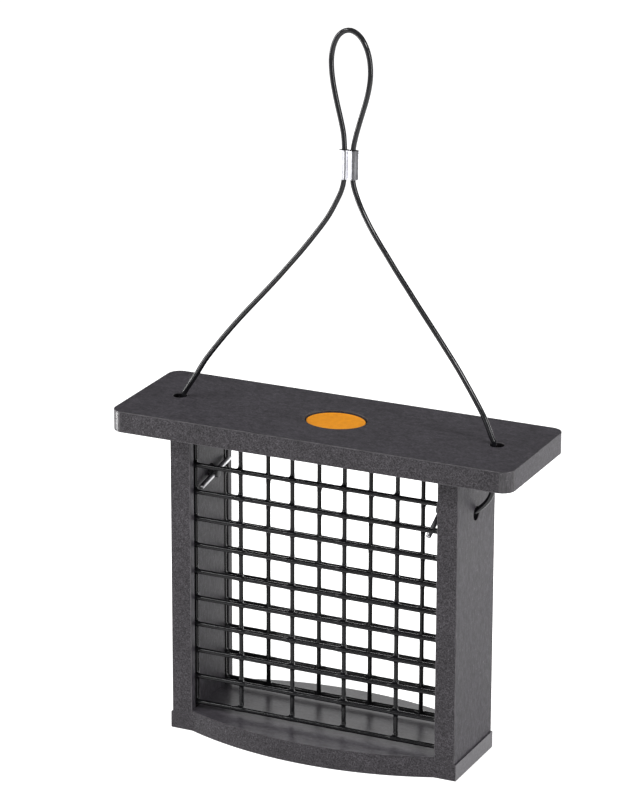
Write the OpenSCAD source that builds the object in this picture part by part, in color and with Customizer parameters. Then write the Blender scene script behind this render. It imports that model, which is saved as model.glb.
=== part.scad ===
// Hanging suet feeder: a slim box of recycled-plastic boards with welded wire windows front and
// back, under a loose roof board that slides up its own cable hanger.
// X runs along the roof, -Y is the front, +Z is up. The origin is the centre of the base's underside.

/* [Roof board] */
// Length of the roof board
roof_l = 192.6; // [160:0.2:240]
// Depth of the roof board
roof_w = 63.6; // [50:0.2:80]
// Thickness of the roof board
roof_t = 9.8; // [7:0.1:13]
// Radius of the roof's four upright corners
roof_corner_r = 6; // [2:0.5:15]
// How far the loose roof lies behind the middle of the box
roof_back = 2.2; // [0:0.1:3]
// How far the loose roof lies to the right of the middle of the box
roof_aside = 0.8; // [0:0.1:1.1]

/* [Side boards] */
// Clear width between the two side boards
box_w = 119.6; // [90:0.2:145]
// Thickness of each side board
side_t = 9.8; // [8:0.1:12]
// Depth of each side board, front to back
side_d = 42; // [40:0.5:50]
// Height of each side board
side_h = 134; // [110:0.5:170]

/* [Base board] */
// Thickness of the base board between the side boards
base_t = 9.8; // [7:0.1:13]
// Depth of the step at each end of the base that a side board stands in
rabbet_h = 2.1; // [1:0.1:4]
// How far each end of the base stands out past its side board
base_proud = 0.7; // [0:0.1:2]
// How far the base's curved front and back swell past the side boards
base_bulge = 12; // [6:0.5:20]

/* [Wire mesh] */
// Spacing of the upright wires
pitch_x = 25.4; // [15:0.1:30]
// Spacing of the level wires
pitch_z = 12.7; // [8:0.1:16]
// Coated diameter of an upright wire
upright_d = 2.0; // [1.4:0.05:2.4]
// Coated diameter of a level wire
level_d = 2.15; // [1.4:0.05:2.4]
// How far the crossing wires sink into each other at a weld
weld_sink = 0.25; // [0.1:0.05:0.5]
// Distance between the middles of the two mesh panels
mesh_gap = 30; // [26:0.5:31]
// Height of the lowest level wire's centre above the base
mesh_lift = 2.8; // [1.5:0.1:6]
// Clear height kept between the top wire and the roof
mesh_top_gap = 0.8; // [0.5:0.1:3]
// Depth of the groove in a side board that holds a panel's edge
groove_depth = 3; // [2.5:0.1:4]
// Clearance between a panel and the walls of its groove
groove_play = 0.2; // [0.1:0.05:0.5]
// Clearance between the ends of the level wires and the groove's floor
stub_gap = 0.5; // [0.2:0.1:1]
// How far the edge wire's centre lies inside the side board's face
edge_wire_in = 0.7; // [0.2:0.1:1.2]

/* [Cable and its holes] */
// Diameter of the vinyl-coated cable
cable_d = 2.4; // [2:0.1:3]
// Diameter of the cable holes in the roof and side boards
cable_hole_d = 6.35; // [5.5:0.05:8]
// Distance from a side board's outer face to the middle of the roof hole above it
roof_hole_out = 7.4; // [6:0.1:9]
// Clearance under a toggle's sleeve where it enters its hole in the side board
hole_play = 0.1; // [0.05:0.05:0.3]
// Distance from a side board's top down to the middle of its cable hole
side_hole_down = 22.5; // [20:0.1:26]
// Lean of the hanger towards the back, in degrees
hanger_lean = 7; // [0:1:10]
// Height of the hanger's swing axis above the roof
swing_rise = 1.4; // [1.3:0.1:3]

/* [Ferrule] */
// Distance between the two cable bores in the ferrule
ferrule_bores = 4.2; // [3.2:0.1:6]
// Wall of the ferrule round each bore
ferrule_wall = 1.2; // [0.8:0.1:2]
// Length of the ferrule
ferrule_l = 12.8; // [12:0.1:16]
// Distance from the roof's top to the ferrule, along the hanger
ferrule_up = 107.3; // [105:0.1:109]
// Tilt of the ferrule across the hanger, in degrees
ferrule_tilt = 2.5; // [0:0.5:4]
// Clearance between a cable and the bore it is crimped in
bore_play = 0.1; // [0.05:0.05:0.2]
// Width of each pressed band round the ferrule
press_w = 2.4; // [1:0.1:3]
// Depth of each pressed band
press_depth = 0.35; // [0.1:0.05:0.6]

/* [Toggles inside the box] */
// Diameter of a steel cross pin
pin_d = 2.4; // [1.6:0.1:3]
// Length of a cross pin
pin_l = 29; // [20:0.5:29]
// Diameter of the crimped sleeve that joins a pin to its cable
sleeve_d = 4.2; // [4:0.1:5.2]
// Length of a sleeve
sleeve_l = 8; // [7:0.5:9]
// Distance of the left pin from its side board
pin_in_left = 2; // [1.6:0.1:4]
// Distance of the right pin from its side board
pin_in_right = 6.8; // [5:0.1:9]
// Tilt of the left pin, front end down, in degrees
pin_tilt_left = 10; // [0:1:30]
// Tilt of the right pin, front end down, in degrees
pin_tilt_right = 41; // [0:1:50]
// Turn of the right pin towards the middle, in degrees
pin_turn_right = 9; // [0:1:20]

/* [Badge] */
// Length of the oval badge
badge_l = 27; // [20:0.5:40]
// Width of the oval badge
badge_w = 22.4; // [15:0.2:30]
// Depth of the oval pocket the badge lies in
pocket_depth = 1.4; // [0.8:0.1:3]
// Thickness of the badge
badge_t = 0.6; // [0.3:0.1:1]
// Gap between the badge and the pocket's wall
badge_gap = 0.8; // [0.2:0.1:2]

/* [Base screws] */
// Shank diameter of a screw
screw_d = 3.6; // [3:0.1:4]
// Length of a screw with its head
screw_l = 30; // [20:1:40]
// Head diameter of a screw
head_d = 7.4; // [6:0.1:8]
// Height of the cone under a screw's head
head_h = 2.4; // [1.5:0.1:3]
// Depth of the head below the base's underside
head_sink = 0.4; // [0.2:0.1:1]
// Distance between the two screws in one side board
screw_gap = 18; // [12:0.5:20]
// Clearance round a screw in the side board's pilot hole
pilot_play = 0.05; // [0.02:0.01:0.1]
// Clearance round a screw in the base board
screw_play = 0.3; // [0.1:0.05:0.5]

/* [Hidden] */

EPS = 0.01;        // overlap of a cut past the face it opens
ROUND = 64;        // facets of a true round
CORNER_STEPS = 12; // steps of a quarter-circle corner
BULGE_STEPS = 32;  // steps of the base's curved edge
OVAL_STEPS = 64;   // steps round the badge

// Colours
board_colour = [0.28, 0.27, 0.29];
coating_colour = [0.08, 0.08, 0.09];
steel_colour = [0.75, 0.75, 0.77];
aluminium_colour = [0.83, 0.84, 0.86];
badge_colour = [0.92, 0.6, 0.15];

// Levels
seat_z = base_t - rabbet_h;      // top of the steps that the side boards stand in
roof_z = seat_z + side_h;        // underside of the roof board
roof_top = roof_z + roof_t;
side_hole_z = roof_z - side_hole_down;
first_row_z = base_t + mesh_lift;
rows = floor((roof_z - mesh_top_gap - level_d / 2 - first_row_z) / pitch_z) + 1;
last_row_z = first_row_z + (rows - 1) * pitch_z;

// Places along X
inner_x = box_w / 2;
outer_x = inner_x + side_t;
base_half = outer_x + base_proud;
roof_hole_x = outer_x + roof_hole_out;
edge_wire_x = inner_x + edge_wire_in;
stub_x = inner_x + groove_depth - stub_gap;
uprights = floor(edge_wire_x / pitch_x - 0.8) + 1; // inner upright wires on each side of the middle

// Places along Y. Level wires lie on the outer face of each panel
wire_step = (upright_d + level_d) / 2 - weld_sink;
upright_y = mesh_gap / 2 - wire_step / 2;
level_y = mesh_gap / 2 + wire_step / 2;
groove_in_y = upright_y - upright_d / 2 - groove_play;
groove_out_y = level_y + level_d / 2 + groove_play;

// Sleeves hang just clear of the bottom of the cable holes in the side boards
pin_z = side_hole_z - cable_hole_d / 2 + sleeve_d / 2 + hole_play;
swing_y = roof_back;
swing_z = roof_top + swing_rise;

// Routes of the strands in the hanger's own plane: distance from the middle, distance up from the roof
left_route = [
    [74.2, 1.4], [73.4, 2.8], [71.7, 5.6], [68.4, 11], [64.7, 17.5], [59, 25.6], [52.8, 33.7],
    [46.1, 41.9], [39.1, 50], [32.2, 58.1], [25.7, 66.1], [19.4, 74.1], [13.6, 82], [8.4, 89.7],
    [4.6, 97.3], [2.9, 101.4], [2, 105], [1.82, 107.4], [2.06, 113]];
right_route = [
    [75.9, 1.4], [74.8, 3.4], [72.5, 8.2], [70.8, 11.5], [66.5, 18], [61.9, 24.5], [57.2, 30.9],
    [52.1, 37.3], [46.9, 43.7], [41.6, 50.1], [36.3, 56.5], [31.2, 62.8], [25.9, 69.3], [20.9, 75.7],
    [15.9, 82.1], [11.25, 88.6], [7.2, 95.2], [4.7, 100.2], [3, 104.6], [2.38, 107.4], [2.13, 113]];
// Route of the hanging loop, from the ferrule up, over and back down
loop_route = [
    [-2.13, 114.5], [-2.39, 120.4], [-3.2, 126.8], [-4.75, 132.5], [-6.4, 137.7], [-8.1, 143.3],
    [-9.6, 149], [-10.6, 154.4], [-10.95, 160], [-10, 165.7], [-8, 169.6], [-5.2, 171.7],
    [-2.4, 172.1], [0.2, 171.2], [2.7, 169.2], [4.9, 166], [6.6, 162], [7.6, 157.6],
    [7.95, 152.8], [7.6, 147.8], [6.6, 142.3], [5.1, 136.3], [3.7, 130.8], [2.6, 125.9],
    [1.81, 120.4], [2.07, 114.5]];
// Routes of the tails from inside the box out through a side board and up into the roof hole
left_tail = [[62.2, 0, 118.2], [66, 0, 118.3], [69.5, 0, 120.4], [71.2, 0.1, 121.9], [72.9, 0.3, 123.9],
             [74.2, 0.6, 126.8], [74.8, 0.9, 130], [74.8, 1.4, 135], [74.6, 2, 142], [74.2, 2.2, 151.4]];
right_tail = [[58, 0, 118.2], [64.5, 0, 118.2], [69.5, 0, 120.4], [71.2, 0.1, 121.9], [73.1, 0.3, 123.8],
              [75, 0.6, 126.4], [76.2, 0.9, 129.6], [76.4, 1.4, 135], [76.2, 2, 142], [75.9, 2.2, 151.4]];

// ---- helpers ----

function arc(centre, r, from, to, steps) =
    [for (i = [0:steps]) let (a = from + (to - from) * i / steps)
        [centre[0] + r * cos(a), centre[1] + r * sin(a)]];

function rounded_rect(l, w, r) = concat(
    arc([l / 2 - r, w / 2 - r], r, 0, 90, CORNER_STEPS),
    arc([-l / 2 + r, w / 2 - r], r, 90, 180, CORNER_STEPS),
    arc([-l / 2 + r, -w / 2 + r], r, 180, 270, CORNER_STEPS),
    arc([l / 2 - r, -w / 2 + r], r, 270, 360, CORNER_STEPS));

function oval(l, w) = [for (i = [0:OVAL_STEPS - 1]) let (a = 360 * i / OVAL_STEPS)
    [l / 2 * cos(a), w / 2 * sin(a)]];

// Circle arc through both inner corners of the side boards and out to the bulge's crown
bulge_r = (inner_x * inner_x + base_bulge * base_bulge) / (2 * base_bulge);
bulge_a = asin(inner_x / bulge_r);
function bulge(side) = arc([0, side * (side_d / 2 + base_bulge - bulge_r)], bulge_r,
    side * 90 - bulge_a, side * 90 + bulge_a, BULGE_STEPS);

// A point of the hanger's plane, leaned back about the swing axis
function hang(p) = let (up = p[1] - swing_rise)
    [p[0], swing_y + up * sin(hanger_lean), swing_z + up * cos(hanger_lean)];

function flip(points) = [for (p = points) [-p[0], p[1], p[2]]];
function unit(v) = v / norm(v);
function along(points, i) = unit(points[min(i + 1, len(points) - 1)] - points[max(i - 1, 0)]);

// An eight-sided tube through the points of a route
module cable(points, d = cable_d, sides = 8) {
    n = len(points);
    ring = [for (i = [0:n - 1]) let (t = along(points, i), u = unit(cross([0, 1, 0], t)), v = cross(t, u))
        for (k = [0:sides - 1]) points[i] + d / 2 * (cos(360 * k / sides) * u + sin(360 * k / sides) * v)];
    walls = [for (i = [0:n - 2]) for (k = [0:sides - 1]) let (m = (k + 1) % sides)
        [i * sides + k, (i + 1) * sides + k, (i + 1) * sides + m, i * sides + m]];
    start = [for (k = [0:sides - 1]) k];
    end = [for (k = [sides - 1:-1:0]) (n - 1) * sides + k];
    polyhedron(ring, concat(walls, [start], [end]), convexity = 6);
}

module both_sides() {
    for (side = [-1, 1]) translate([side * (outer_x - side_t / 2), 0, 0]) children();
}

// ---- boards ----

module roof_board() {
    color(board_colour)
    translate([roof_aside, roof_back, roof_z])
    difference() {
        linear_extrude(roof_t) polygon(rounded_rect(roof_l, roof_w, roof_corner_r));
        for (side = [-1, 1])
            translate([side * roof_hole_x, 0, -EPS])
                cylinder(h = roof_t + 2 * EPS, d = cable_hole_d, $fn = ROUND);
        translate([0, 0, roof_t - pocket_depth])
            linear_extrude(pocket_depth + EPS)
                polygon(oval(badge_l + 2 * badge_gap, badge_w + 2 * badge_gap));
    }
}

module badge() {
    color(badge_colour)
    translate([roof_aside, roof_back, roof_top - pocket_depth])
        linear_extrude(badge_t) polygon(oval(badge_l, badge_w));
}

module screw_places() {
    both_sides() for (y = [-screw_gap / 2, screw_gap / 2]) translate([0, y, 0]) children();
}

module base_board() {
    color(board_colour)
    difference() {
        linear_extrude(base_t) polygon(concat(
            [[-base_half, side_d / 2], [-base_half, -side_d / 2]], bulge(-1),
            [[base_half, -side_d / 2], [base_half, side_d / 2]], bulge(1)));
        for (side = [-1, 1])
            translate([side > 0 ? inner_x : -base_half - EPS, -side_d / 2 - EPS, seat_z])
                cube([base_half - inner_x + EPS, side_d + 2 * EPS, rabbet_h + EPS]);
        screw_places() {
            translate([0, 0, -EPS])
                cylinder(h = base_t, d = screw_d + 2 * screw_play, $fn = ROUND);
            translate([0, 0, -EPS])
                cylinder(h = head_sink + EPS, d = head_d + 2 * screw_play, $fn = ROUND);
            translate([0, 0, head_sink - EPS])
                cylinder(h = head_h, d1 = head_d + 2 * screw_play, d2 = screw_d + 2 * screw_play, $fn = ROUND);
        }
    }
}

// Grooves are cut in the inner face. side is -1 for the left board and 1 for the right
module side_board(side) {
    color(board_colour)
    difference() {
        translate([side > 0 ? inner_x : -outer_x, -side_d / 2, seat_z]) cube([side_t, side_d, side_h]);
        for (face = [-1, 1])
            translate([side > 0 ? inner_x - EPS : -inner_x - groove_depth,
                       face > 0 ? groove_in_y : -groove_out_y, seat_z - EPS])
                cube([groove_depth + EPS, groove_out_y - groove_in_y, side_h + 2 * EPS]);
        translate([side * (outer_x - side_t / 2), 0, side_hole_z]) rotate([0, 90, 0])
            cylinder(h = side_t + 2 * EPS, d = cable_hole_d, center = true, $fn = ROUND);
        for (y = [-screw_gap / 2, screw_gap / 2])
            translate([side * (outer_x - side_t / 2), y, seat_z - EPS])
                cylinder(h = head_sink + screw_l + 1 - seat_z, d = screw_d + 2 * pilot_play, $fn = ROUND);
    }
}

// ---- wire mesh ----

module mesh_panel(face) {
    color(coating_colour)
    union() {
        for (side = [-1, 1]) {
            for (i = [0:uprights - 1])
                translate([side * (i + 0.5) * pitch_x, face * upright_y, first_row_z - level_d / 2])
                    cylinder(h = last_row_z - first_row_z + level_d, d = upright_d, $fn = ROUND);
            translate([side * edge_wire_x, face * upright_y, first_row_z - level_d / 2])
                cylinder(h = last_row_z - first_row_z + level_d, d = upright_d, $fn = ROUND);
        }
        for (row = [0:rows - 1])
            translate([0, face * level_y, first_row_z + row * pitch_z]) rotate([0, 90, 0])
                cylinder(h = 2 * stub_x, d = level_d, center = true, $fn = ROUND);
    }
}

// ---- fasteners and toggles ----

module base_screws() {
    color(steel_colour)
    screw_places() {
        translate([0, 0, head_sink]) cylinder(h = head_h, d1 = head_d, d2 = screw_d, $fn = ROUND);
        translate([0, 0, head_sink + head_h - EPS])
            cylinder(h = screw_l - head_h - 3, d = screw_d, $fn = ROUND);
        translate([0, 0, head_sink + screw_l - 3 - 2 * EPS])
            cylinder(h = 3, d1 = screw_d, d2 = 0.6, $fn = ROUND);
    }
}

// Places a toggle's middle on its cable; children are drawn with the cable coming in along +X
module toggle_place(side) {
    translate([side * (inner_x - (side > 0 ? pin_in_right : pin_in_left)), 0, pin_z])
        mirror([side > 0 ? 0 : 1, 0, 0]) children();
}

module cross_pin(tilt, turn, d, l) {
    rotate([0, 0, -turn]) rotate([tilt, 0, 0]) rotate([90, 0, 0])
        cylinder(h = l, d = d, center = true, $fn = ROUND);
}

module toggle_pin(side) {
    color(steel_colour)
    toggle_place(side)
        cross_pin(side > 0 ? pin_tilt_right : pin_tilt_left, side > 0 ? pin_turn_right : 0, pin_d, pin_l);
}

module toggle_sleeve(side) {
    color(aluminium_colour)
    toggle_place(side)
    difference() {
        translate([-sleeve_d / 2, 0, 0]) rotate([0, 90, 0])
            cylinder(h = sleeve_l, d = sleeve_d, $fn = ROUND);
        cross_pin(side > 0 ? pin_tilt_right : pin_tilt_left, side > 0 ? pin_turn_right : 0,
                  pin_d + 2 * bore_play, sleeve_d * 3);
        translate([pin_d / 2 + 0.6, 0, 0]) rotate([0, 90, 0])
            cylinder(h = sleeve_l, d = cable_d + 2 * bore_play, $fn = ROUND);
    }
}

// ---- cable hanger ----

module ferrule_shape(h, d) {
    linear_extrude(h) polygon(concat(
        arc([ferrule_bores / 2, 0], d / 2, -90, 90, 2 * CORNER_STEPS),
        arc([-ferrule_bores / 2, 0], d / 2, 90, 270, 2 * CORNER_STEPS)));
}

module ferrule() {
    body_d = cable_d + 2 * bore_play + 2 * ferrule_wall;
    color(aluminium_colour)
    translate(hang([0, ferrule_up + ferrule_l / 2]))
    rotate([-hanger_lean, 0, 0]) rotate([0, -ferrule_tilt, 0]) translate([0, 0, -ferrule_l / 2])
    difference() {
        ferrule_shape(ferrule_l, body_d);
        for (z = [ferrule_l * 0.28, ferrule_l * 0.72])
            translate([0, 0, z - press_w / 2]) difference() {
                ferrule_shape(press_w, body_d + 2);
                ferrule_shape(press_w, body_d - 2 * press_depth);
            }
        for (side = [-1, 1])
            translate([side * ferrule_bores / 2, 0, -EPS])
                cylinder(h = ferrule_l + 2 * EPS, d = cable_d + 2 * bore_play, $fn = ROUND);
    }
}

module cable_tail_right() { color(coating_colour) cable(right_tail); }
module cable_tail_left() { color(coating_colour) cable(flip(left_tail)); }
module cable_strand_right() { color(coating_colour) cable([for (p = right_route) hang(p)]); }
module cable_strand_left() { color(coating_colour) cable(flip([for (p = left_route) hang(p)])); }
module cable_loop() { color(coating_colour) cable([for (p = loop_route) hang(p)]); }

roof_board();
badge();
base_board();
side_board(-1);  // side_board_left
side_board(1);  // side_board_right
mesh_panel(-1);  // mesh_front
mesh_panel(1);  // mesh_rear
base_screws();
toggle_pin(-1);  // toggle_pin_left
toggle_pin(1);  // toggle_pin_right
toggle_sleeve(-1);  // toggle_sleeve_left
toggle_sleeve(1);  // toggle_sleeve_right
cable_tail_left();
cable_tail_right();
cable_strand_left();
cable_strand_right();
ferrule();
cable_loop();
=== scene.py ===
import math

import bmesh
import bpy
from mathutils import Matrix, Vector, noise


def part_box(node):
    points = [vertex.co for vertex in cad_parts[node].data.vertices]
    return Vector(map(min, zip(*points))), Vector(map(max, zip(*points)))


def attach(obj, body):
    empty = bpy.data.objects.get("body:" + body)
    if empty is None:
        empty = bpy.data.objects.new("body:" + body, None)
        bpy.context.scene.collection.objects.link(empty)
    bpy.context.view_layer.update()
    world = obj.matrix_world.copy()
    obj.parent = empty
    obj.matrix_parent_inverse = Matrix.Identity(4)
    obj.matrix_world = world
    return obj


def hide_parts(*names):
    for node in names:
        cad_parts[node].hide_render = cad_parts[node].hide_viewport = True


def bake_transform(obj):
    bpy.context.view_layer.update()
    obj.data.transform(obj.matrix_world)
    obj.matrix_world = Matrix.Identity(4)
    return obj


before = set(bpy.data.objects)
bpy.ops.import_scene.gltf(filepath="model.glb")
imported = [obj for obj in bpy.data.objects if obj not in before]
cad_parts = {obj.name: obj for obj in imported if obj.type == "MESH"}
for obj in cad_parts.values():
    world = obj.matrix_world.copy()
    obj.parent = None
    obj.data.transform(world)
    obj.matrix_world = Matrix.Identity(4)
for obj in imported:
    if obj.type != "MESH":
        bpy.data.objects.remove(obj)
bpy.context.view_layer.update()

MM = 0.001

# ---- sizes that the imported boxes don't give, in millimetres ----

HOLE_R = 3.175          # cable holes in the roof and the side boards
CABLE_D = 2.4
UPRIGHT_R = 1.0         # coated wires of the mesh
LEVEL_R = 1.075
PITCH_X = 25.4
PITCH_Z = 12.7
EDGE_WIRE_X = 60.5
GROOVE_DEPTH = 3.0
GROOVE_PLAY = 0.2
ROOF_CORNER_R = 6.0
POCKET_DEPTH = 1.4
BADGE_GAP = 0.8
ARRIS = 0.35            # width of an eased board edge
HANGER_LEAN = math.radians(7)
SWING_RISE = 1.4        # height of the hanger's swing axis above the roof
ROOF_HOLE_GAP = 7.4     # from a side board's outer face to the middle of the roof's hole
SIDE_HOLE_DOWN = 22.5   # from a side board's top to the middle of its hole
FERRULE_UP = 107.3      # height of the ferrule's lower end above the roof, along the hanger
FERRULE_TILT = math.radians(2.5)
FERRULE_BORES = 4.2     # distance between the ferrule's two bores
FERRULE_L = 12.8
FERRULE_LOBE_R = 2.5
BORE_PLAY = 0.1         # room round a cable or a pin in its bore

# Routes of the cable, as in the CAD source: the strands and the loop as (distance from the middle,
# distance up from the roof) in the hanger's own plane, and the tails as points of the frame. The
# left strand and the left tail are flipped over to their own side
STRAND_ROUTES = {
    "left": [
        (74.2, 1.4), (73.4, 2.8), (71.7, 5.6), (68.4, 11), (64.7, 17.5), (59, 25.6), (52.8, 33.7),
        (46.1, 41.9), (39.1, 50), (32.2, 58.1), (25.7, 66.1), (19.4, 74.1), (13.6, 82), (8.4, 89.7),
        (4.6, 97.3), (2.9, 101.4), (2, 105), (1.82, 107.4), (2.06, 113)],
    "right": [
        (75.9, 1.4), (74.8, 3.4), (72.5, 8.2), (70.8, 11.5), (66.5, 18), (61.9, 24.5), (57.2, 30.9),
        (52.1, 37.3), (46.9, 43.7), (41.6, 50.1), (36.3, 56.5), (31.2, 62.8), (25.9, 69.3), (20.9, 75.7),
        (15.9, 82.1), (11.25, 88.6), (7.2, 95.2), (4.7, 100.2), (3, 104.6), (2.38, 107.4), (2.13, 113)]}
LOOP_ROUTE = [
    (-2.13, 114.5), (-2.39, 120.4), (-3.2, 126.8), (-4.75, 132.5), (-6.4, 137.7), (-8.1, 143.3),
    (-9.6, 149), (-10.6, 154.4), (-10.95, 160), (-10, 165.7), (-8, 169.6), (-5.2, 171.7),
    (-2.4, 172.1), (0.2, 171.2), (2.7, 169.2), (4.9, 166), (6.6, 162), (7.6, 157.6),
    (7.95, 152.8), (7.6, 147.8), (6.6, 142.3), (5.1, 136.3), (3.7, 130.8), (2.6, 125.9),
    (1.81, 120.4), (2.07, 114.5)]
TAIL_ROUTES = {
    "left": [
        (62.2, 0, 118.2), (66, 0, 118.3), (69.5, 0, 120.4), (71.2, 0.1, 121.9), (72.9, 0.3, 123.9),
        (74.2, 0.6, 126.8), (74.8, 0.9, 130), (74.8, 1.4, 135), (74.6, 2, 142), (74.2, 2.2, 151.4)],
    "right": [
        (58, 0, 118.2), (64.5, 0, 118.2), (69.5, 0, 120.4), (71.2, 0.1, 121.9), (73.1, 0.3, 123.8),
        (75, 0.6, 126.4), (76.2, 0.9, 129.6), (76.4, 1.4, 135), (76.2, 2, 142), (75.9, 2.2, 151.4)]}

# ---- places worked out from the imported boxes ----

roof_low, roof_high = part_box("roof_board")
base_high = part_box("base_board")[1]
badge_low, badge_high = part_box("badge")
side_low, side_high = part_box("side_board_right")
ROOF_X = (roof_low.x + roof_high.x) / 2
ROOF_Y = (roof_low.y + roof_high.y) / 2
ROOF_TOP = roof_high.z
INNER_X = side_low.x
OUTER_X = side_high.x
SEAT_Z = side_low.z
ROOF_HOLE_OUT = OUTER_X + ROOF_HOLE_GAP * MM        # from the middle of the roof to each of its holes
SIDE_HOLE_Z = side_high.z - SIDE_HOLE_DOWN * MM
SWING = Vector((0, ROOF_Y, ROOF_TOP + SWING_RISE * MM))
UP_HANGER = Vector((0, math.sin(HANGER_LEAN), math.cos(HANGER_LEAN)))


def hang(x, up):
    """The point of the hanger's leaning plane at x and at that distance up from the roof."""
    return SWING + Vector((x * MM, 0, 0)) + UP_HANGER * ((up - SWING_RISE) * MM)


def flipped(points):
    return [Vector((-p.x, p.y, p.z)) for p in points]


# ---- mesh helpers ----

def piece_from(bm, name, finishes, smooth_angle=35):
    """Turns a bmesh into a piece with these materials, smooth except across sharp edges."""
    bmesh.ops.recalc_face_normals(bm, faces=bm.faces)
    for face in bm.faces:
        face.smooth = True
    for edge in bm.edges:
        edge.smooth = edge.is_manifold and edge.calc_face_angle(0) < math.radians(smooth_angle)
    mesh = bpy.data.meshes.new(name)
    bm.to_mesh(mesh)
    bm.free()
    for finish in finishes:
        mesh.materials.append(finish)
    piece = bpy.data.objects.new(name, mesh)
    bpy.context.scene.collection.objects.link(piece)
    return piece


def settle(piece):
    """Applies a piece's modifiers, so that its mesh is final."""
    bpy.context.view_layer.update()
    graph = bpy.context.evaluated_depsgraph_get()
    final = bpy.data.meshes.new_from_object(
        piece.evaluated_get(graph), preserve_all_data_layers=True, depsgraph=graph)
    rough = piece.data
    piece.modifiers.clear()
    piece.data = final
    bpy.data.meshes.remove(rough)
    return piece


def block(bm, low, high):
    """A closed box between two corners."""
    made = bmesh.ops.create_cube(bm, size=1.0)["verts"]
    bmesh.ops.scale(bm, vec=high - low, verts=made)
    bmesh.ops.translate(bm, vec=(low + high) / 2, verts=made)
    return made


def rod(bm, start, end, radius, end_radius=None, segments=48):
    """A closed round rod or cone between two points."""
    made = bmesh.ops.create_cone(
        bm, cap_ends=True, cap_tris=False, segments=segments, radius1=radius,
        radius2=radius if end_radius is None else end_radius, depth=(end - start).length)["verts"]
    turn = (end - start).to_track_quat("Z", "Y").to_matrix()
    bmesh.ops.rotate(bm, matrix=turn, verts=made)
    bmesh.ops.translate(bm, vec=(start + end) / 2, verts=made)
    return made


def cut_away(solid, cutters):
    """The bmesh of solid with the closed shapes of another bmesh cut out of it."""
    body = piece_from(solid, "rough_body", [])
    tool = piece_from(cutters, "rough_tool", [])
    cut = body.modifiers.new("cut", "BOOLEAN")
    cut.operation = "DIFFERENCE"
    cut.solver = "EXACT"
    cut.use_self = True
    cut.object = tool
    settle(body)
    made = bmesh.new()
    made.from_mesh(body.data)
    for rough in (body, tool):
        mesh = rough.data
        bpy.data.objects.remove(rough)
        bpy.data.meshes.remove(mesh)
    bmesh.ops.remove_doubles(made, verts=made.verts, dist=0.002 * MM)
    bmesh.ops.dissolve_limit(made, angle_limit=math.radians(1), verts=made.verts, edges=made.edges)
    return made


def ease_edges(bm, width, finish, least=40):
    """Rounds every convex edge sharper than the angle; the new faces take that material's number."""
    sharp = [e for e in bm.edges if e.is_manifold and e.calc_face_angle_signed(0) > math.radians(least)]
    bmesh.ops.bevel(
        bm, geom=sharp, offset=width, offset_type="OFFSET", segments=2, profile=0.5,
        affect="EDGES", material=finish, clamp_overlap=True, loop_slide=True)


def shade_by_area(piece):
    """Keeps wide flat faces flat beside their rounded edges."""
    weighted = piece.modifiers.new("flat_faces", "WEIGHTED_NORMAL")
    weighted.keep_sharp = True
    weighted.weight = 100
    return settle(piece)


# ---- material helpers ----

def new_finish(name):
    """An empty material with its output, and the shader that goes to it."""
    finish = bpy.data.materials.new(name)
    finish.use_nodes = True
    tree = finish.node_tree
    tree.nodes.clear()
    shader = tree.nodes.new("ShaderNodeBsdfPrincipled")
    output = tree.nodes.new("ShaderNodeOutputMaterial")
    tree.links.new(shader.outputs["BSDF"], output.inputs["Surface"])
    return finish, tree, shader


def feed(tree, socket, value):
    if isinstance(value, bpy.types.NodeSocket):
        tree.links.new(value, socket)
    else:
        socket.default_value = value


def add(tree, kind, inputs, **settings):
    """A shader node with its inputs fed and its settings set."""
    made = tree.nodes.new("ShaderNode" + kind)
    for key, value in settings.items():
        setattr(made, key, value)
    for key, value in inputs.items():
        feed(tree, made.inputs[key], value)
    return made


def pattern_space(tree, scale):
    """Object coordinates stretched by a scale in cells per metre along X, Y and Z."""
    place = tree.nodes.new("ShaderNodeTexCoord")
    return add(tree, "Mapping", {"Vector": place.outputs["Object"], "Scale": scale}).outputs["Vector"]


def noise_of(tree, scale, detail=4.0, roughness=0.6, distortion=0.0):
    """A noise pattern's value, with its cells sized by a scale in cells per metre."""
    made = add(tree, "TexNoise", {
        "Vector": pattern_space(tree, scale), "Scale": 1.0, "Detail": detail,
        "Roughness": roughness, "Distortion": distortion})
    return made.outputs["Fac"]


def ramp(tree, value, stops):
    """A colour ramp over a value; each stop is (place, grey or colour)."""
    made = add(tree, "ValToRGB", {"Fac": value})
    bar = made.color_ramp
    while len(bar.elements) < len(stops):
        bar.elements.new(0.5)
    for element, (place, colour) in zip(bar.elements, stops):
        element.position = place
        element.color = (*([colour] * 3 if isinstance(colour, float) else colour), 1.0)
    return made.outputs["Color"]


def blend_colours(tree, share, first, second, kind="MIX"):
    made = tree.nodes.new("ShaderNodeMix")
    made.data_type = "RGBA"
    made.blend_type = kind
    made.clamp_factor = True
    feed(tree, made.inputs[0], share)
    feed(tree, made.inputs[6], first)
    feed(tree, made.inputs[7], second)
    return made.outputs[2]


def bump(tree, height, strength, distance, below=None):
    inputs = {"Height": height, "Strength": strength, "Distance": distance}
    if below is not None:
        inputs["Normal"] = below
    return add(tree, "Bump", inputs).outputs["Normal"]


def span(tree, value, low, high):
    """A value from 0 to 1 spread over a range."""
    return add(tree, "MapRange", {"Value": value, "To Min": low, "To Max": high}).outputs["Result"]


# ---- materials ----

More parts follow.
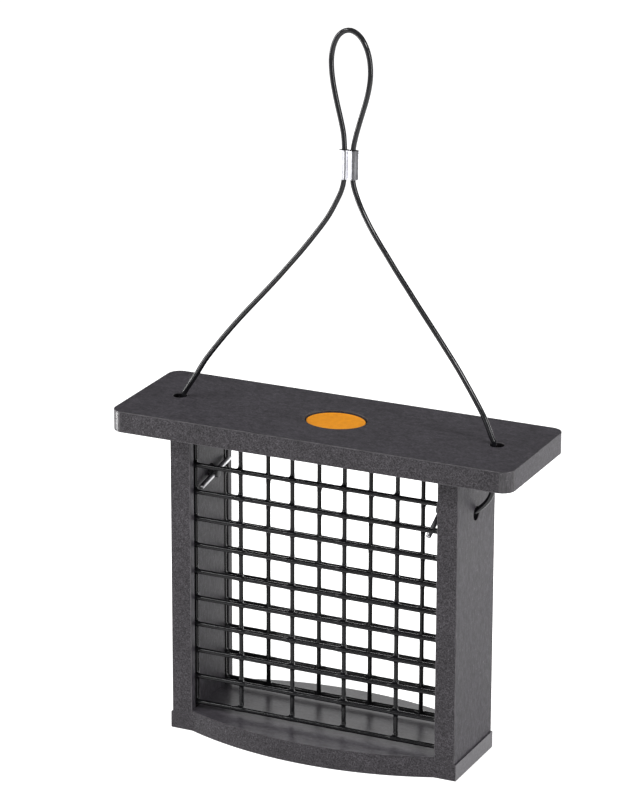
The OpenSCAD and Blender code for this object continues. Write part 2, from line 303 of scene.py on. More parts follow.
def board_plastic(name, layers, tint, specular, roughness, relief):
    """Charcoal recycled plastic: layers of noise (scale, darkest, lightest) multiplied onto one tint."""
    finish, tree, shader = new_finish(name)
    base = tint
    for scale, darkest, lightest in layers:
        grey = noise_of(tree, scale, 3.0, 0.6)
        base = blend_colours(tree, 1.0, base, ramp(tree, grey, [(0.3, darkest), (0.7, lightest)]), "MULTIPLY")
    cloud = noise_of(tree, (45.0, 45.0, 45.0), 3.0, 0.55, 0.4)
    base = blend_colours(tree, 1.0, base, ramp(tree, cloud, [(0.3, 0.86), (0.7, 1.14)]), "MULTIPLY")
    fleck = noise_of(tree, (1100.0, 1100.0, 1100.0), 2.0, 0.7)
    base = blend_colours(tree, ramp(tree, fleck, [(0.62, 0.0), (0.76, 0.5)]), base, (0.15, 0.14, 0.152, 1))
    feed(tree, shader.inputs["Base Color"], base)
    shader.inputs["Specular IOR Level"].default_value = specular
    feed(tree, shader.inputs["Roughness"], span(tree, cloud, roughness - 0.06, roughness + 0.08))
    feed(tree, shader.inputs["Normal"], bump(tree, fleck, 0.5, relief * MM))
    return finish


def arris_rubbed_and_highlit():
    """The eased edge of a board, lighter: partly rubbed wear, partly a painted highlight along the edge."""
    finish, tree, shader = new_finish("arris_rubbed_and_highlit")
    rubbing_and_highlight = noise_of(tree, (260.0, 260.0, 260.0), 5.0, 0.7)
    # Lighter than the board: partly rubbed wear, partly a painted highlight on the edge.
    base = ramp(tree, rubbing_and_highlight, [(0.35, (0.03, 0.0285, 0.031)), (0.7, (0.085, 0.08, 0.087))])
    feed(tree, shader.inputs["Base Color"], base)
    feed(tree, shader.inputs["Roughness"], span(tree, rubbing_and_highlight, 0.4, 0.6))
    shader.inputs["Specular IOR Level"].default_value = 0.25
    return finish


def dipped_vinyl():
    """Black vinyl that the welded mesh was dipped in, pooled and slightly uneven."""
    finish, tree, shader = new_finish("dipped_vinyl")
    pools = noise_of(tree, (220.0, 220.0, 220.0), 2.0, 0.5)
    base = ramp(tree, pools, [(0.3, (0.003, 0.003, 0.0035)), (0.7, (0.006, 0.006, 0.007))])
    feed(tree, shader.inputs["Base Color"], base)
    feed(tree, shader.inputs["Roughness"], span(tree, pools, 0.1, 0.2))
    shader.inputs["Specular IOR Level"].default_value = 0.2
    return finish


def cable_jacket():
    """Glossy black vinyl drawn over a steel cable, whose lay shows faintly."""
    finish, tree, shader = new_finish("cable_jacket")
    pools = noise_of(tree, (300.0, 300.0, 300.0), 2.0, 0.5)
    scuffs = noise_of(tree, (900.0, 900.0, 160.0), 4.0, 0.7)
    base = ramp(tree, pools, [(0.3, (0.0035, 0.0035, 0.0045)), (0.7, (0.007, 0.007, 0.0085))])
    base = blend_colours(tree, ramp(tree, scuffs, [(0.7, 0.0), (0.8, 0.1)]), base, (0.02, 0.02, 0.023, 1))
    feed(tree, shader.inputs["Base Color"], base)
    shader.inputs["Roughness"].default_value = 0.13
    shader.inputs["Specular IOR Level"].default_value = 0.36
    return finish


def crimped_aluminium(name, darkest, lightest):
    """Aluminium with press marks and drag lines, between two shades of grey."""
    finish, tree, shader = new_finish(name)
    drag = noise_of(tree, (1600.0, 1600.0, 160.0), 4.0, 0.65)
    dents = noise_of(tree, (500.0, 500.0, 300.0), 3.0, 0.6)
    stops = [(place, (grey, grey, grey * 1.06)) for place, grey in ((0.3, darkest), (0.7, lightest))]
    feed(tree, shader.inputs["Base Color"], ramp(tree, dents, stops))
    shader.inputs["Metallic"].default_value = 1.0
    feed(tree, shader.inputs["Roughness"], span(tree, drag, 0.38, 0.55))
    hammer = bump(tree, dents, 0.15, 0.12 * MM)
    feed(tree, shader.inputs["Normal"], bump(tree, drag, 0.15, 0.03 * MM, hammer))
    return finish


def blackened_crimp():
    """A dull sleeve, oxide black with rubbed spots."""
    finish, tree, shader = new_finish("blackened_crimp")
    rubbed = noise_of(tree, (700.0, 700.0, 700.0), 3.0, 0.6)
    base = ramp(tree, rubbed, [(0.35, (0.02, 0.02, 0.022)), (0.75, (0.07, 0.07, 0.076))])
    feed(tree, shader.inputs["Base Color"], base)
    feed(tree, shader.inputs["Roughness"], span(tree, rubbed, 0.42, 0.62))
    feed(tree, shader.inputs["Normal"], bump(tree, rubbed, 0.3, 0.06 * MM))
    return finish


def drawn_steel():
    """Bright drawn wire, with its die lines and a few dull patches."""
    finish, tree, shader = new_finish("drawn_steel")
    lines = noise_of(tree, (1800.0, 110.0, 1800.0), 3.0, 0.6)
    patches = noise_of(tree, (240.0, 240.0, 240.0), 3.0, 0.6)
    base = ramp(tree, patches, [(0.3, (0.4, 0.4, 0.415)), (0.7, (0.62, 0.62, 0.64))])
    feed(tree, shader.inputs["Base Color"], base)
    shader.inputs["Metallic"].default_value = 1.0
    feed(tree, shader.inputs["Roughness"], span(tree, patches, 0.22, 0.42))
    feed(tree, shader.inputs["Normal"], bump(tree, lines, 0.25, 0.03 * MM))
    return finish


def badge_enamel():
    """Glossy orange enamel with a faint mottle."""
    finish, tree, shader = new_finish("badge_enamel")
    mottle = noise_of(tree, (500.0, 500.0, 500.0), 3.0, 0.6)
    base = ramp(tree, mottle, [(0.3, (0.66, 0.235, 0.007)), (0.7, (0.78, 0.295, 0.01))])
    feed(tree, shader.inputs["Base Color"], base)
    feed(tree, shader.inputs["Roughness"], span(tree, mottle, 0.25, 0.36))
    shader.inputs["Specular IOR Level"].default_value = 0.3
    return finish


PLANED, SAWN = (0.037, 0.034, 0.04, 1), (0.029, 0.0265, 0.03, 1)
# The second tint is painted shade: the board's plastic made nearly black inside the cable holes.
UPRIGHT, HOLE_SHADE_TINT = (0.0265, 0.024, 0.029, 1), (0.006, 0.0055, 0.0065, 1)
roof_face = board_plastic(
    "board_face_along_x", [((260, 520, 520), 0.68, 1.35), ((800, 1300, 1300), 0.55, 1.5)],
    PLANED, specular=0.16, roughness=0.46, relief=0.06)
base_face = board_plastic(
    "base_face_along_x", [((200, 520, 520), 0.68, 1.36), ((800, 1300, 1300), 0.6, 1.45)],
    PLANED, specular=0.55, roughness=0.33, relief=0.03)
post_face = board_plastic(
    "board_face_upright", [((900, 900, 300), 0.45, 1.6), ((1500, 1500, 900), 0.6, 1.4)],
    UPRIGHT, specular=0.2, roughness=0.46, relief=0.05)
sawn = board_plastic(
    "board_cut_edge", [((1700, 1700, 1700), 0.2, 1.85), ((700, 700, 700), 0.75, 1.25)],
    SAWN, specular=0.16, roughness=0.55, relief=0.08)
buffed = board_plastic(
    "board_buffed_corner", [((1500, 1500, 300), 0.5, 1.5), ((700, 700, 200), 0.7, 1.3)],
    SAWN, specular=0.4, roughness=0.26, relief=0.02)
# Painted shade for the faces inside the cable holes, far darker than the board's own plastic.
hole_shade_finish = board_plastic(
    "board_hole_painted_shade", [((900, 900, 900), 0.5, 1.5)],
    HOLE_SHADE_TINT, specular=0.1, roughness=0.6, relief=0.05)
arris = arris_rubbed_and_highlit()
vinyl = dipped_vinyl()
jacket = cable_jacket()
aluminium = crimped_aluminium("crimped_aluminium", 0.62, 0.84)
# A darker grey copy of the same aluminium: painted shade on the ferrule's front, right of its channel.
aluminium_painted_shade_right = crimped_aluminium("aluminium_painted_shade_right", 0.09, 0.16)
# A still darker copy of the same aluminium: painted shade in the ferrule's creases and on its two end faces.
crease_and_end_painted_shade = crimped_aluminium("aluminium_painted_crease_shade", 0.05, 0.11)
blackened = blackened_crimp()
steel = drawn_steel()
enamel = badge_enamel()
FACE, CUT, EASED, CORNER, HOLE_SHADE_SLOT = 0, 1, 2, 3, 4      # material numbers on a board


# ---- camera ----

def add_camera():
    azimuth, elevation, roll = math.radians(25.02), math.radians(19.069), math.radians(0.166)
    distance, aside, above = 1.78476, -0.006066, 0.083503
    aim = Vector((0, 0, 0.07))
    back = Vector((math.sin(azimuth) * math.cos(elevation),
                   -math.cos(azimuth) * math.cos(elevation), math.sin(elevation)))
    right = Vector((math.cos(azimuth), math.sin(azimuth), 0))
    up = back.cross(right)
    turned_right = right * math.cos(roll) + up * math.sin(roll)
    turned_up = up * math.cos(roll) - right * math.sin(roll)
    view = bpy.data.cameras.new("camera")
    view.sensor_width = 36
    view.lens = 3991.5 / 812 * view.sensor_width
    view.clip_start, view.clip_end = 0.05, 50
    holder = bpy.data.objects.new("camera", view)
    holder.matrix_world = Matrix.Translation(aim + back * distance + right * aside + up * above) @ Matrix(
        (turned_right, turned_up, back)).transposed().to_4x4()
    bpy.context.scene.collection.objects.link(holder)
    bpy.context.scene.camera = holder


add_camera()


# ---- cable hanger ----

def smooth_line(points, step=1.2 * MM):
    """A smooth line through the points (a centripetal spline), sampled every step or so."""
    ends = [points[0] * 2 - points[1], *points, points[-1] * 2 - points[-2]]
    line = []
    for a, b, c, d in zip(ends, ends[1:], ends[2:], ends[3:]):
        ab, bc, cd = ((q - p).length ** 0.5 for p, q in ((a, b), (b, c), (c, d)))
        leave = ((b - a) / ab - (c - a) / (ab + bc) + (c - b) / bc) * bc
        reach = ((c - b) / bc - (d - b) / (bc + cd) + (d - c) / cd) * bc
        count = max(2, round((c - b).length / step))
        for i in range(count):
            t = i / count
            line.append(b * (2 * t**3 - 3 * t**2 + 1) + leave * (t**3 - 2 * t**2 + t)
                        + c * (3 * t**2 - 2 * t**3) + reach * (t**3 - t**2))
    return line + [points[-1].copy()]


def tube(name, line, radius, finish, round_start=False, round_end=False):
    """A closed round tube along a line, with hemispheres on the ends that ask for them."""
    beads = [(p, 1.0) for p in line]
    angles = [math.radians(a) for a in (20, 40, 60, 75, 87)]
    out_start = (line[0] - line[1]).normalized()
    out_end = (line[-1] - line[-2]).normalized()
    if round_end:
        beads += [(line[-1] + out_end * radius * math.sin(a), math.cos(a)) for a in angles]
    if round_start:
        beads = [(line[0] + out_start * radius * math.sin(a), math.cos(a)) for a in reversed(angles)] + beads
    curve = bpy.data.curves.new(name, "CURVE")
    curve.dimensions = "3D"
    curve.bevel_depth = radius
    curve.bevel_resolution = 4
    curve.use_fill_caps = True
    spline = curve.splines.new("POLY")
    spline.points.add(len(beads) - 1)
    for point, (place, share) in zip(spline.points, beads):
        point.co = (*place, 1.0)
        point.radius = share
    holder = bpy.data.objects.new(name + "_line", curve)
    bpy.context.scene.collection.objects.link(holder)
    bpy.context.view_layer.update()
    graph = bpy.context.evaluated_depsgraph_get()
    mesh = bpy.data.meshes.new_from_object(holder.evaluated_get(graph), depsgraph=graph)
    bpy.data.objects.remove(holder)
    bpy.data.curves.remove(curve)
    bm = bmesh.new()
    bm.from_mesh(mesh)
    bpy.data.meshes.remove(mesh)
    bmesh.ops.remove_doubles(bm, verts=bm.verts, dist=0.005 * MM)
    for face in bm.faces:
        face.material_index = 0
    return piece_from(bm, name, [finish], 60)


SIDES = {"left": -1, "right": 1}


def ferrule():
    """A double-bore crimp sleeve: two lobes, a pressed channel between them, two cable bores."""
    half_gap, high = FERRULE_BORES / 2 * MM, FERRULE_L * MM
    bm = bmesh.new()
    for side in (-1, 1):
        rod(bm, Vector((side * half_gap, 0, 0)), Vector((side * half_gap, 0, high)), FERRULE_LOBE_R * MM)
    block(bm, Vector((-half_gap, -1.3 * MM, 0)), Vector((half_gap, 1.3 * MM, high)))
    rough = piece_from(bm, "rough_ferrule", [])
    skin = rough.modifiers.new("skin", "REMESH")
    skin.mode = "VOXEL"
    skin.voxel_size = 0.16 * MM
    ease = rough.modifiers.new("ease", "SMOOTH")
    ease.factor, ease.iterations = 0.5, 3
    settle(rough)
    bm = bmesh.new()
    bm.from_mesh(rough.data)
    mesh = rough.data
    bpy.data.objects.remove(rough)
    bpy.data.meshes.remove(mesh)
    crease_at, crease_wide = (-0.9 * MM, 2.7 * MM), 0.3 * MM
    for vert in bm.verts:
        share = vert.co.z / high
        across = vert.co.x if vert.co.y < 0 else -vert.co.x
        crease = sum(math.exp(-((across - place) / crease_wide) ** 2) for place in crease_at)
        channel = 1 if crease_at[0] < across < crease_at[1] else 0
        waist = math.exp(-((share - 0.5) / 0.3) ** 2)
        if abs(vert.co.y) > 1 * MM and 0.02 < share < 0.98:
            vert.co.y -= math.copysign((0.3 * crease + 0.12 * channel + 0.1 * waist) * MM, vert.co.y)
        vert.co.x *= 1 - 0.015 * waist
        if 0.06 < share < 0.94:
            vert.co += vert.normal * (noise.noise(vert.co * 900) * 0.03 * MM)
    bores = bmesh.new()
    for side in (-1, 1):
        rod(bores, Vector((side * half_gap, 0, -2 * MM)), Vector((side * half_gap, 0, high + 2 * MM)),
            (CABLE_D / 2 + BORE_PLAY) * MM)
    bm = cut_away(bm, bores)
    bm.normal_update()
    for face in bm.faces:
        middle = face.calc_center_median()
        # Painted shade: faces in the creases and the two end faces get the darkest aluminium.
        in_crease = middle.y < -1 * MM and min(abs(middle.x - place) for place in crease_at) < 0.25 * MM
        # Painted shade: the front faces right of the channel get the darker grey aluminium.
        shaded_right_face = middle.y < 0 and middle.x > crease_at[1]
        face.material_index = 2 if in_crease or abs(face.normal.z) > 0.8 else 1 if shaded_right_face else 0
    place = (Matrix.Translation(hang(0, FERRULE_UP + FERRULE_L / 2)) @ Matrix.Rotation(-HANGER_LEAN, 4, "X")
             @ Matrix.Rotation(-FERRULE_TILT, 4, "Y") @ Matrix.Translation((0, 0, -high / 2)))
    bmesh.ops.transform(bm, matrix=place, verts=bm.verts)
    return piece_from(bm, "crimped_ferrule", [aluminium, aluminium_painted_shade_right, crease_and_end_painted_shade], 40)


def strand(side_name):
    """One leg of the hanger, from the roof hole up to the ferrule."""
    route = [hang(*p) for p in STRAND_ROUTES[side_name]]
    line = smooth_line(route if side_name == "right" else flipped(route))
    piece = tube("hanger_strand_" + side_name, line, CABLE_D / 2 * MM, jacket, round_start=True)
    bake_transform(piece)
    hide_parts("cable_strand_" + side_name)


def hanging_loop():
    """The loop above the ferrule."""
    line = smooth_line([hang(*p) for p in LOOP_ROUTE])
    piece = tube("hanging_loop", line, CABLE_D / 2 * MM, jacket)
    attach(piece, "loop")
    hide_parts("cable_loop")


def tail(side_name, toggle):
    """The cable inside a side board, out through its hole and up into the roof."""
    points = [Vector(p) * MM for p in TAIL_ROUTES[side_name]]
    points.append(Vector((points[-1].x, SWING.y, SWING.z)))
    line = smooth_line(points if side_name == "right" else flipped(points))
    piece = tube("cable_tail_" + side_name + "_jacketed", line, CABLE_D / 2 * MM, jacket, round_end=True)
    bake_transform(piece)
    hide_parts("cable_tail_" + side_name)


# ---- toggles ----

PIN_L, PIN_R, SLEEVE_R, SLEEVE_L = 29 * MM, 1.2 * MM, 2.1 * MM, 8 * MM
PIN_Z = SIDE_HOLE_Z - HOLE_R * MM + SLEEVE_R + BORE_PLAY * MM
PIN_IN = {-1: 2.0 * MM, 1: 6.8 * MM}
PIN_TILT = {-1: math.radians(10), 1: math.radians(41)}
PIN_TURN = {-1: 0.0, 1: math.radians(9)}


def toggle(side_name):
    """A steel cross pin and the crimped sleeve that joins it to its cable."""
    side = SIDES[side_name]
    place = Matrix.Translation((side * (INNER_X - PIN_IN[side]), 0, PIN_Z))
    if side < 0:
        place = place @ Matrix.Scale(-1, 4, (1, 0, 0))
    lie = Matrix.Rotation(-PIN_TURN[side], 4, "Z") @ Matrix.Rotation(PIN_TILT[side], 4, "X")
    bm = bmesh.new()
    rod(bm, Vector((0, PIN_L / 2, 0)), Vector((0, -PIN_L / 2, 0)), PIN_R)
    rims = [e for e in bm.edges if e.calc_face_angle(0) > math.radians(60)]
    bmesh.ops.bevel(bm, geom=rims, offset=0.3 * MM, segments=2, profile=0.5, affect="EDGES", material=-1)
    bmesh.ops.subdivide_edges(
        bm, edges=[e for e in bm.edges if e.calc_length() > PIN_L / 2], cuts=24)
    for vert in bm.verts:
        sheared = max(0.0, abs(vert.co.y) / (PIN_L / 2) - 0.94) / 0.06
        vert.co.z *= 1 - 0.22 * sheared
        if abs(vert.co.y) < 2.4 * MM:
            vert.co.x *= 0.93
    bmesh.ops.transform(bm, matrix=place @ lie, verts=bm.verts)
    pin = piece_from(bm, "cross_pin_" + side_name, [steel], 50)
    bm = bmesh.new()
    rod(bm, Vector((-SLEEVE_R, 0, 0)), Vector((SLEEVE_L - SLEEVE_R, 0, 0)), SLEEVE_R)
    rims = [e for e in bm.edges if e.calc_face_angle(0) > math.radians(60)]
    bmesh.ops.bevel(bm, geom=rims, offset=0.35 * MM, segments=3, profile=0.5, affect="EDGES", material=-1)
    bmesh.ops.subdivide_edges(
        bm, edges=[e for e in bm.edges if e.calc_length() > SLEEVE_L / 2], cuts=20)
    for vert in bm.verts:
        share = (vert.co.x + SLEEVE_R) / SLEEVE_L
        press = math.exp(-((share - 0.62) / 0.12) ** 2)
        vert.co.z *= 1 - 0.22 * press
    bores = bmesh.new()
    rod(bores, Vector((PIN_R + 0.6 * MM, 0, 0)), Vector((SLEEVE_L, 0, 0)), (CABLE_D / 2 + BORE_PLAY) * MM)
    pin_bore = rod(bores, Vector((0, 3 * SLEEVE_R, 0)), Vector((0, -3 * SLEEVE_R, 0)), PIN_R + BORE_PLAY * MM)
    bmesh.ops.transform(bores, matrix=lie, verts=pin_bore)
    bm = cut_away(bm, bores)
    bmesh.ops.transform(bm, matrix=place, verts=bm.verts)
    crimp = piece_from(bm, "crimped_sleeve_" + side_name, [blackened], 40)
    for piece, node, slot in ((pin, "toggle_pin_", "steel"), (crimp, "toggle_sleeve_", "blackened_crimp")):
        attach(piece, "feeder")
        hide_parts(node + side_name)
    return [pin, crimp]


sleeve = ferrule()
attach(sleeve, "loop")
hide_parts("ferrule")
hanging_loop()
for side_name in SIDES:
    strand(side_name)
    tail(side_name, toggle(side_name))


# ---- boards ----

def number_faces(bm, holes):
    """Gives each face its material: painted shade in a hole, buffed on an outer corner, cut at front and
    back.
    """
    bm.normal_update()
    for face in bm.faces:
        centre = face.calc_center_median()
        across, along = abs(face.normal.y), abs(face.normal.x)
        rounded = min(across, along) > 0.06 and abs(centre.x) > ROOF_HOLE_OUT + HOLE_R * MM
        in_hole = len(face.verts) == 4 and any(
            axis.cross(centre - place).length < (HOLE_R + BORE_PLAY) * MM for place, axis in holes)
        face.material_index = HOLE_SHADE_SLOT if in_hole else CORNER if rounded else CUT if across > 0.5 else FACE


def board(bm, name, node, body, finishes, holes=()):
    """Numbers the faces, eases the edges and makes the piece that stands for a CAD board."""
    number_faces(bm, holes)
    ease_edges(bm, ARRIS * MM, EASED)
    piece = shade_by_area(piece_from(bm, name, finishes))
    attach(piece, body)
    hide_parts(node)
    return piece


def roof():
    """The roof board, with rounded corners, two cable holes and the badge's pocket."""
    bm = bmesh.new()
    block(bm, roof_low, roof_high)
    upright = [e for e in bm.edges if abs((e.verts[0].co - e.verts[1].co).z) > 1 * MM]
    bmesh.ops.bevel(bm, geom=upright, offset=ROOF_CORNER_R * MM, segments=14, profile=0.5,
                    affect="EDGES", material=-1)
    cutters = bmesh.new()
    for side in (-1, 1):
        hole_x = ROOF_X + side * ROOF_HOLE_OUT
        rod(cutters, Vector((hole_x, ROOF_Y, roof_low.z - 1 * MM)),
            Vector((hole_x, ROOF_Y, ROOF_TOP + 1 * MM)), HOLE_R * MM)
    middle = (badge_low + badge_high) / 2
    half_length = (badge_high.x - badge_low.x) / 2 + BADGE_GAP * MM
    half_width = (badge_high.y - badge_low.y) / 2 + BADGE_GAP * MM
    pocket = rod(cutters, Vector((0, 0, ROOF_TOP - POCKET_DEPTH * MM)), Vector((0, 0, ROOF_TOP + 1 * MM)),
                 1.0, segments=96)
    bmesh.ops.scale(cutters, vec=(half_length, half_width, 1), verts=pocket)
    bmesh.ops.translate(cutters, vec=(middle.x, middle.y, 0), verts=pocket)
    bm = cut_away(bm, cutters)
    holes = [(Vector((ROOF_X + side * ROOF_HOLE_OUT, ROOF_Y, 0)), Vector((0, 0, 1))) for side in (-1, 1)]
    return board(bm, "roof", "roof_board", "roof", [roof_face, sawn, arris, buffed, hole_shade_finish], holes)


def base():
    """The base board: curved front and back, and a step at each end for a side board."""
    half_depth = side_high.y
    bulge = base_high.y - half_depth
    radius = (INNER_X ** 2 + bulge ** 2) / (2 * bulge)
    sweep = 2 * math.asin(INNER_X / radius)
    bm = bmesh.new()
    for face in (-1, 1):
        start = bm.verts.new((-face * INNER_X, face * half_depth, 0))
        centre = Vector((0, face * (half_depth + bulge - radius), 0))
        end = bmesh.ops.spin(bm, geom=[start], cent=centre, axis=(0, 0, -1), angle=sweep, steps=44,
                             use_duplicate=False)["geom_last"][0]
        corners = [bm.verts.new((side * base_high.x, face * half_depth, 0)) for side in (-face, face)]
        bm.edges.new((corners[0], start))
        bm.edges.new((end, corners[1]))
        if face < 0:
            front_corners = corners
    bm.edges.new((corners[0], front_corners[1]))
    bm.edges.new((corners[1], front_corners[0]))
    floor = bmesh.ops.contextual_create(bm, geom=bm.edges[:])["faces"]
    top = bmesh.ops.extrude_face_region(bm, geom=floor)["geom"]
    top_verts = [v for v in top if isinstance(v, bmesh.types.BMVert)]
    bmesh.ops.translate(bm, vec=(0, 0, base_high.z), verts=top_verts)
    cutters = bmesh.new()
    reach = 1 * MM
    for side in (-1, 1):
        ends = sorted((side * INNER_X, side * (base_high.x + reach)))
        block(cutters, Vector((ends[0], -half_depth - reach, SEAT_Z)),
              Vector((ends[1], half_depth + reach, base_high.z + reach)))
    for x, y in SCREW_PLACES:
        rod(cutters, Vector((x, y, -reach)), Vector((x, y, SCREW_SINK)), SCREW_HEAD_R + 0.3 * MM)
        rod(cutters, Vector((x, y, SCREW_SINK - 0.01 * MM)), Vector((x, y, SCREW_SINK + 2.4 * MM)),
            SCREW_HEAD_R + 0.3 * MM, SCREW_R)
    bm = cut_away(bm, cutters)
    return board(bm, "base", "base_board", "feeder", [base_face, sawn, arris])


def side_board(side_name):
    """A side board with a groove for each mesh panel and the hole for its cable."""
    side = SIDES[side_name]
    low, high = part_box("side_board_" + side_name)
    reach = 1 * MM
    bm = bmesh.new()
    block(bm, low, high)
    cutters = bmesh.new()
    ends = sorted((side * (INNER_X - reach), side * (INNER_X + GROOVE_DEPTH * MM)))
    for node in ("mesh_front", "mesh_rear"):
        wires_low, wires_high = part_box(node)
        block(cutters, Vector((ends[0], wires_low.y - GROOVE_PLAY * MM, low.z - reach)),
              Vector((ends[1], wires_high.y + GROOVE_PLAY * MM, high.z + reach)))
    rod(cutters, Vector((low.x - reach, 0, SIDE_HOLE_Z)), Vector((high.x + reach, 0, SIDE_HOLE_Z)),
        HOLE_R * MM)
    bm = cut_away(bm, cutters)
    holes = [(Vector((0, 0, SIDE_HOLE_Z)), Vector((1, 0, 0)))]
    return board(bm, "side_board_" + side_name + "_eased", "side_board_" + side_name, "feeder",
                 [post_face, sawn, arris, buffed, hole_shade_finish], holes)


def badge():
    """A thin oval of enamel with a low raised rim."""
    middle, half = (badge_low + badge_high) / 2, (badge_high - badge_low) / 2
    bm = bmesh.new()
    oval = rod(bm, Vector((0, 0, badge_low.z)), Vector((0, 0, badge_high.z)), 1.0, segments=96)
    bmesh.ops.scale(bm, vec=(half.x, half.y, 1), verts=oval)
    bmesh.ops.translate(bm, vec=(middle.x, middle.y, 0), verts=oval)
    top = [f for f in bm.faces if f.normal.z > 0.9]
    bmesh.ops.inset_region(bm, faces=top, thickness=0.55 * MM, depth=0)
    bmesh.ops.inset_region(bm, faces=top, thickness=0.2 * MM, depth=-0.15 * MM)
    rim = [e for e in bm.edges if e.calc_face_angle(0) > math.radians(70)]
    bmesh.ops.bevel(bm, geom=rim, offset=0.12 * MM, segments=2, profile=0.5, affect="EDGES", material=-1)
    piece = shade_by_area(piece_from(bm, "oval_badge", [enamel]))
    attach(piece, "roof")
    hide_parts("badge")


# ---- screws under the base ----

SCREW_R, SCREW_HEAD_R, SCREW_SINK, SCREW_L = 1.8 * MM, 3.7 * MM, 0.4 * MM, 30 * MM
SCREW_PLACES = [(side * (INNER_X + OUTER_X) / 2, y) for side in (-1, 1) for y in (-9 * MM, 9 * MM)]


def base_screws():
    """Countersunk screws with a cross recess, a plain shank and a point."""
    bm, recesses = bmesh.new(), bmesh.new()
    for x, y in SCREW_PLACES:
        rod(bm, Vector((x, y, SCREW_SINK)), Vector((x, y, SCREW_SINK + 2.4 * MM)), SCREW_HEAD_R, SCREW_R)
        rod(bm, Vector((x, y, SCREW_SINK + 2 * MM)), Vector((x, y, SCREW_L - 2.6 * MM)), SCREW_R)
        rod(bm, Vector((x, y, SCREW_L - 2.7 * MM)), Vector((x, y, SCREW_L + 0.4 * MM)), SCREW_R, 0.3 * MM)
        for turn in (0, 90):
            slot = block(recesses, Vector((-2.1 * MM, -0.45 * MM, -1 * MM)),
                         Vector((2.1 * MM, 0.45 * MM, SCREW_SINK + 1.2 * MM)))
            bmesh.ops.rotate(recesses, matrix=Matrix.Rotation(math.radians(turn + 20), 3, "Z"), verts=slot)
            bmesh.ops.translate(recesses, vec=(x, y, 0), verts=slot)
    bm = cut_away(bm, recesses)
    piece = piece_from(bm, "cross_head_screws", [steel], 30)
    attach(piece, "feeder")
    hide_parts("base_screws")


# ---- welded mesh ----

VOXEL = 0.42 * MM
COAT_SHRINK = 0.17 * MM     # what the smoothing takes off a wire, made up beforehand


def draw_round(vert, uprights, levels, upright_y, level_y, level_end):
    """Puts a point of the skin on its wire's true round, fading out where two wires meet."""
    x = min(uprights, key=lambda place: abs(place - vert.co.x))
    z = min(levels, key=lambda place: abs(place - vert.co.z))
    from_upright = Vector((vert.co.x - x, vert.co.y - upright_y, 0))
    from_level = Vector((0, vert.co.y - level_y, vert.co.z - z))
    on_level = from_level.length < from_upright.length
    away = abs(vert.co.x - x) if on_level else abs(vert.co.z - z)
    share = min(1.0, max(0.0, (away - 1.7 * MM) / (1.5 * MM)))
    if on_level:
        share *= min(1.0, max(0.0, (level_end - abs(vert.co.x) - 0.3 * MM) / (0.5 * MM)))
    arm, radius = (from_level, LEVEL_R) if on_level else (from_upright, UPRIGHT_R)
    smooth = share * share * (3 - 2 * share)
    vert.co += arm.normalized() * ((radius * MM - arm.length) * smooth)


def mesh_panel(node):
    """Welded wires under one skin of vinyl, which pools in the crossings."""
    low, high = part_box(node)
    face = -1 if low.y < 0 else 1
    upright_y = (low.y if face > 0 else high.y) + face * UPRIGHT_R * MM
    level_y = (high.y if face > 0 else low.y) - face * LEVEL_R * MM
    rows = round((high.z - low.z - 2 * LEVEL_R * MM) / (PITCH_Z * MM)) + 1
    levels = [low.z + LEVEL_R * MM + row * PITCH_Z * MM for row in range(rows)]
    inner = [side * step * PITCH_X * MM for side in (-1, 1) for step in (0.5, 1.5)]
    uprights = inner + [side * EDGE_WIRE_X * MM for side in (-1, 1)]
    bm = bmesh.new()
    for x in uprights:
        rod(bm, Vector((x, upright_y, low.z)), Vector((x, upright_y, high.z)),
            UPRIGHT_R * MM + COAT_SHRINK, segments=24)
    for z in levels:
        rod(bm, Vector((low.x, level_y, z)), Vector((high.x, level_y, z)),
            LEVEL_R * MM + COAT_SHRINK, segments=24)
    for x in uprights:
        for z in levels:
            pool = bmesh.ops.create_icosphere(bm, subdivisions=2, radius=1.0)["verts"]
            size = 1 + 0.12 * noise.noise(Vector((x, face, z)) * 300)
            bmesh.ops.scale(bm, vec=(1.75 * MM * size, 1.35 * MM, 1.75 * MM * size), verts=pool)
            bmesh.ops.translate(bm, vec=(x, (upright_y + level_y) / 2, z), verts=pool)
    piece = piece_from(bm, "coated_" + node, [vinyl], 180)
    skin = piece.modifiers.new("skin", "REMESH")
    skin.mode = "VOXEL"
    skin.voxel_size = VOXEL
    skin.use_smooth_shade = True
    ease = piece.modifiers.new("ease", "SMOOTH")
    ease.factor, ease.iterations = 0.5, 8
    settle(piece)
    for vert in piece.data.vertices:
        draw_round(vert, uprights, levels, upright_y, level_y, high.x)
    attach(piece, "feeder")
    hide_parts(node)


roof()
base()
for side_name in SIDES:
    side_board(side_name)
badge()
base_screws()
for node in ("mesh_front", "mesh_rear"):
    mesh_panel(node)


# ---- floor and light ----

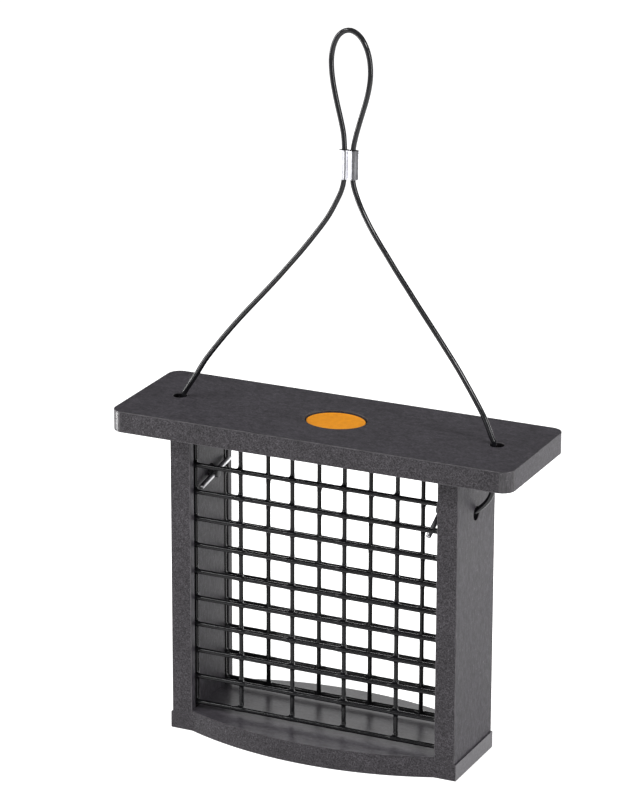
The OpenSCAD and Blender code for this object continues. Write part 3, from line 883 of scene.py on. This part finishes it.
def plain_floor():
    bm = bmesh.new()
    bmesh.ops.create_grid(bm, x_segments=1, y_segments=1, size=8)
    bmesh.ops.translate(bm, vec=(0, 0, -0.2 * MM), verts=bm.verts)
    finish, tree, shader = new_finish("pale_floor")
    soft = noise_of(tree, (3.0, 3.0, 3.0), 2.0, 0.5)
    feed(tree, shader.inputs["Base Color"], ramp(tree, soft, [(0.0, 0.94), (1.0, 0.97)]))
    shader.inputs["Roughness"].default_value = 0.9
    shader.inputs["Emission Color"].default_value = (1, 1, 1, 1)
    shader.inputs["Emission Strength"].default_value = 0.45
    piece_from(bm, "floor", [finish])


def dark_card():
    """A dark card far behind, out of view, that keeps haze off the roof's top."""
    bm = bmesh.new()
    block(bm, Vector((-2.4, 2.6, 0.02)), Vector((1.6, 2.62, 1.7)))
    finish, tree, shader = new_finish("dark_card")
    soft = noise_of(tree, (3.0, 3.0, 3.0), 2.0, 0.5)
    feed(tree, shader.inputs["Base Color"], ramp(tree, soft, [(0.0, 0.03), (1.0, 0.05)]))
    shader.inputs["Roughness"].default_value = 0.9
    piece_from(bm, "dark_card", [finish])


def softbox(name, place, aim, size, power):
    """A square area light that faces a point."""
    light = bpy.data.lights.new(name, "AREA")
    light.shape = "RECTANGLE"
    light.size, light.size_y = size
    light.energy = power
    holder = bpy.data.objects.new(name, light)
    holder.location = place
    holder.visible_camera = False
    holder.rotation_euler = (Vector(place) - Vector(aim)).to_track_quat("Z", "Y").to_euler()
    bpy.context.scene.collection.objects.link(holder)


def studio():
    world = bpy.data.worlds.new("studio")
    world.use_nodes = True
    sky = world.node_tree.nodes["Background"]
    sky.inputs["Color"].default_value = (1, 1, 1, 1)
    sky.inputs["Strength"].default_value = 0.5
    bpy.context.scene.world = world
    bpy.context.scene.view_settings.view_transform = "Standard"
    middle = (0, 0, 0.16)
    softbox("left", (-1.75, -0.65, 0.75), middle, (0.35, 1.0), 24)
    softbox("right", (1.75, -0.5, 0.65), middle, (0.4, 0.9), 16)
    softbox("high_left", (-1.04, -1.19, 1.4), middle, (0.5, 0.25), 13)
    softbox("high_right", (1.41, -0.65, 1.41), middle, (0.5, 0.25), 13)
    softbox("low_left", (-0.43, -0.14, 0.03), (-0.09, -0.03, 0.145), (0.05, 0.12), 0.6)
    softbox("behind", (0, 0.32, 0.1), (0, 0, 0.02), (0.42, 0.16), 0.36)


plain_floor()
dark_card()
studio()
